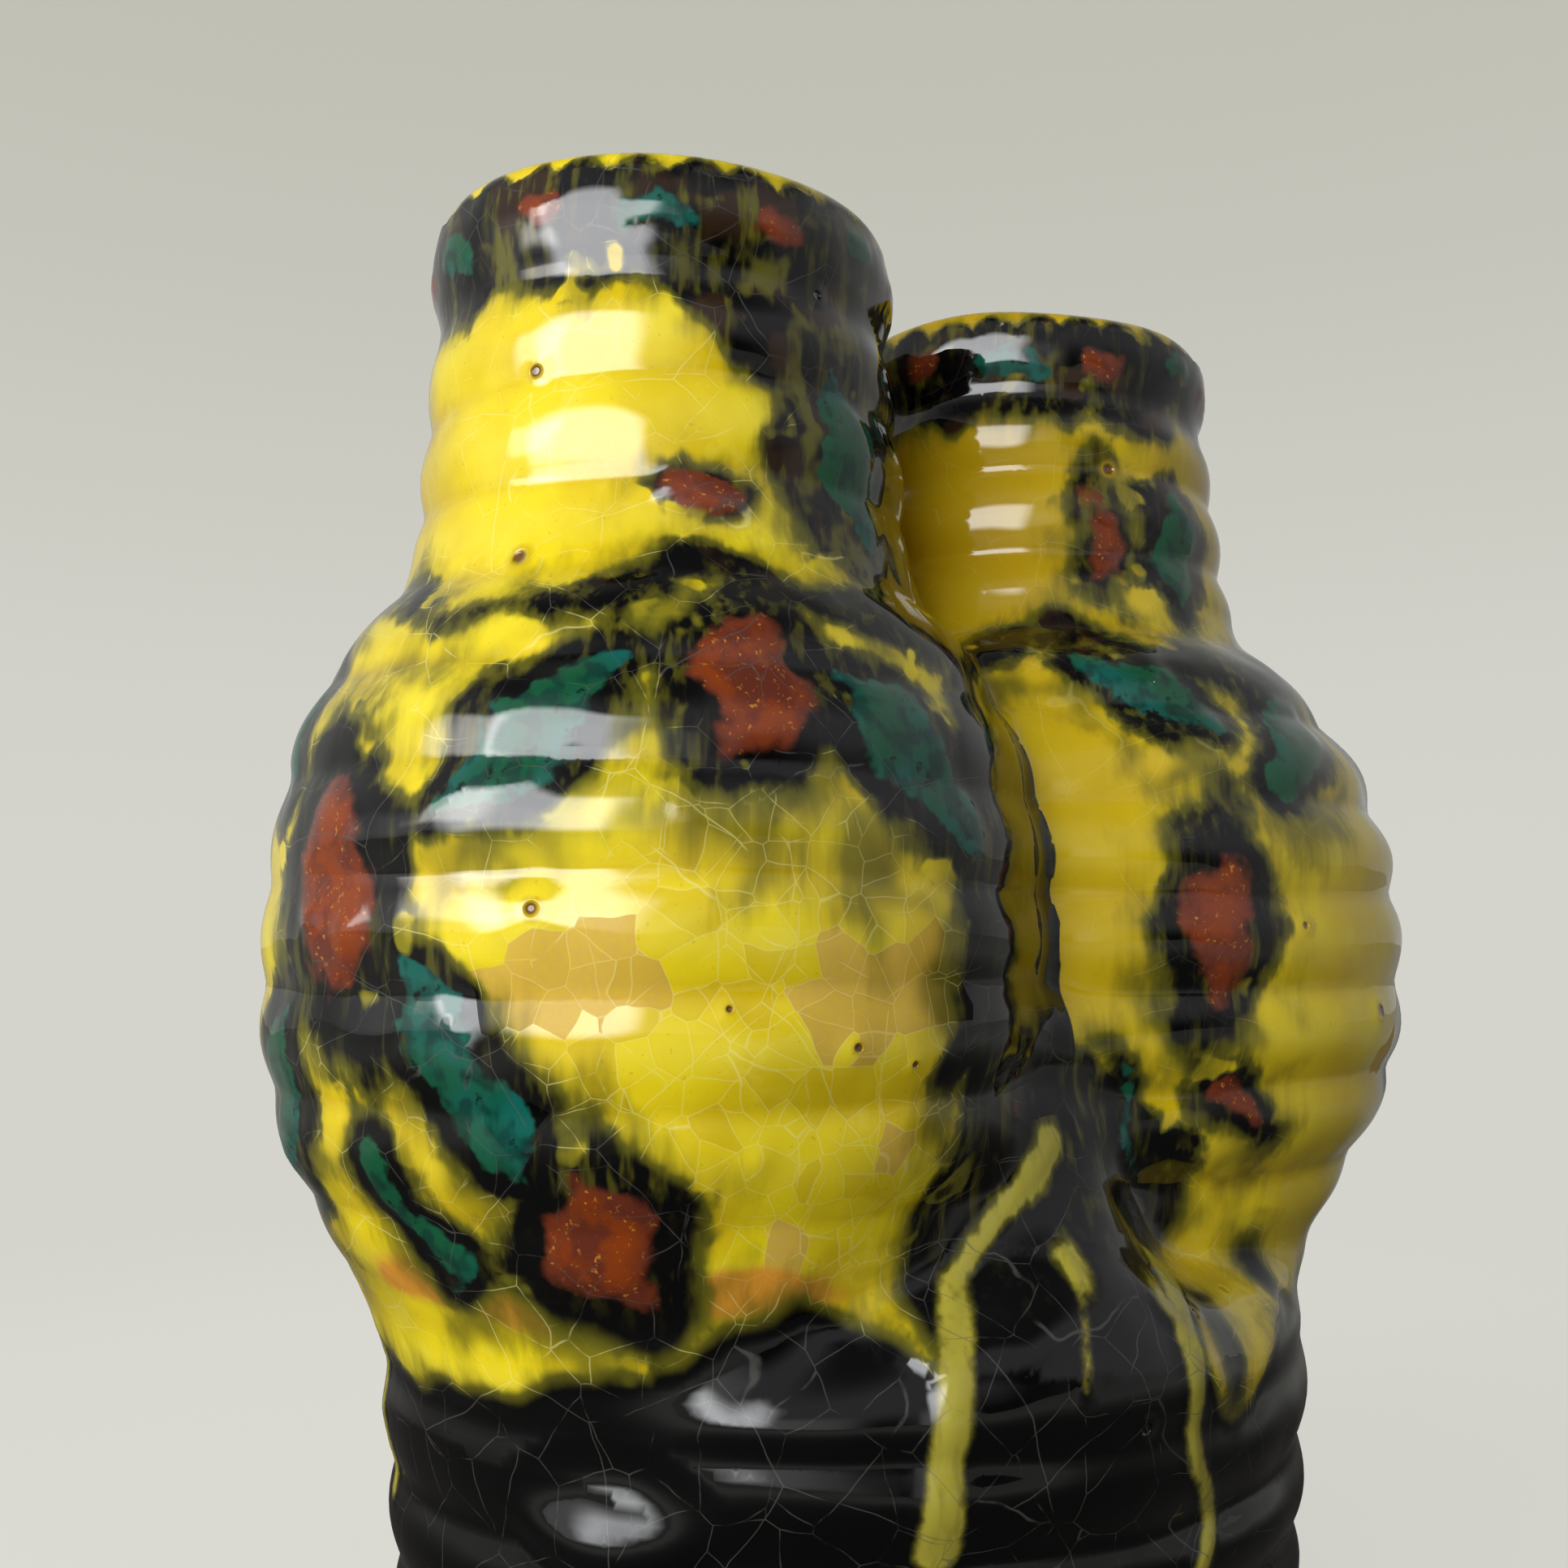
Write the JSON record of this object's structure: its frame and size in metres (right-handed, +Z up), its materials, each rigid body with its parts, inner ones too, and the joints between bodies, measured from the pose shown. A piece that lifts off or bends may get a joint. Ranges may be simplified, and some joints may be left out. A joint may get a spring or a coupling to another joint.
{
  "type": "twin-neck vase",
  "caption": "Glazed ceramic vase: ridged bottle forms joined side by side on an oval drum, each with an open rolled neck for cut flowers.",
  "frame": {"origin": "middle of the drum's flat underside", "axes": "+Z up; +X from the left bottle's axis to the right bottle's axis; -Y is the side the picture shows"},
  "size_m": [0.1642, 0.107, 0.2021],
  "materials": {
    "yellow_glaze": "glossy",
    "black_glaze": "glossy",
    "pooled_glaze": "glossy",
    "bare_clay": "matte"
  },
  "bodies": {
    "root": {"drum_floor": "bare_clay", "drum_wall": "black_glaze", "drum_shoulder": "black_glaze", "left_bulb": "yellow_glaze", "right_bulb": "yellow_glaze", "left_neck": "yellow_glaze", "right_neck": "yellow_glaze", "left_lip": "black_glaze", "right_lip": "black_glaze", "front_seam": "pooled_glaze", "back_seam": "pooled_glaze"}
  },
  "joints": []
}
